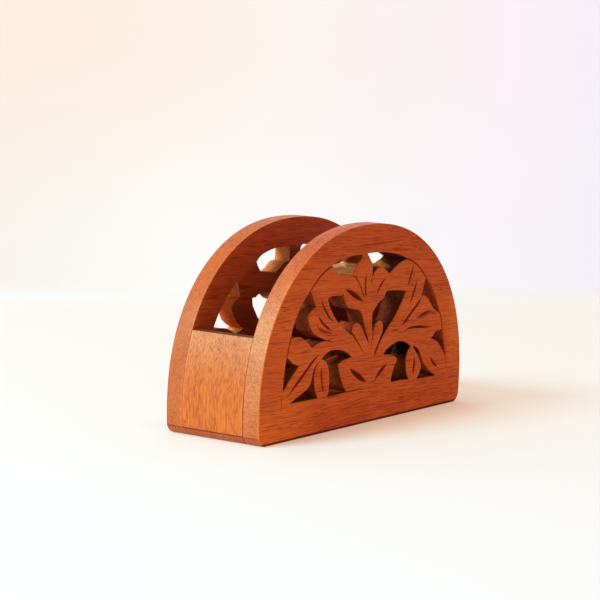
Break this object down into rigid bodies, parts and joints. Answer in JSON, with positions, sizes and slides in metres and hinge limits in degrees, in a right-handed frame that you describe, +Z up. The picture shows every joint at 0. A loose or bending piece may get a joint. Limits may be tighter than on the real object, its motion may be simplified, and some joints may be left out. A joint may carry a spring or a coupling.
{
  "type": "napkin holder",
  "caption": "Small wooden napkin holder: pierced, carved floral arch panels front and back, joined by low end boards and a floor board, open at the top.",
  "frame": {"origin": "centre of the footprint, on the surface the holder stands on", "axes": "+X along the panels, +Y from the front panel to the back panel, +Z up"},
  "size_m": [0.15, 0.046, 0.083],
  "materials": {
    "panel_wood": "oiled red-brown hardwood, hand carved, satin, horizontal grain",
    "end_wood": "oiled orange-brown hardwood, sanded, satin, upright grain with fine pores",
    "floor_wood": "plain sawn hardwood, oiled",
    "pin_wood": "turned pale hardwood dowel, unfinished"
  },
  "bodies": {
    "root": {"front_panel": "panel_wood", "back_panel": "panel_wood", "left_end_board": "end_wood", "right_end_board": "end_wood", "floor_board": "floor_wood", "left_dowels": "pin_wood", "right_dowels": "pin_wood"}
  },
  "joints": []
}
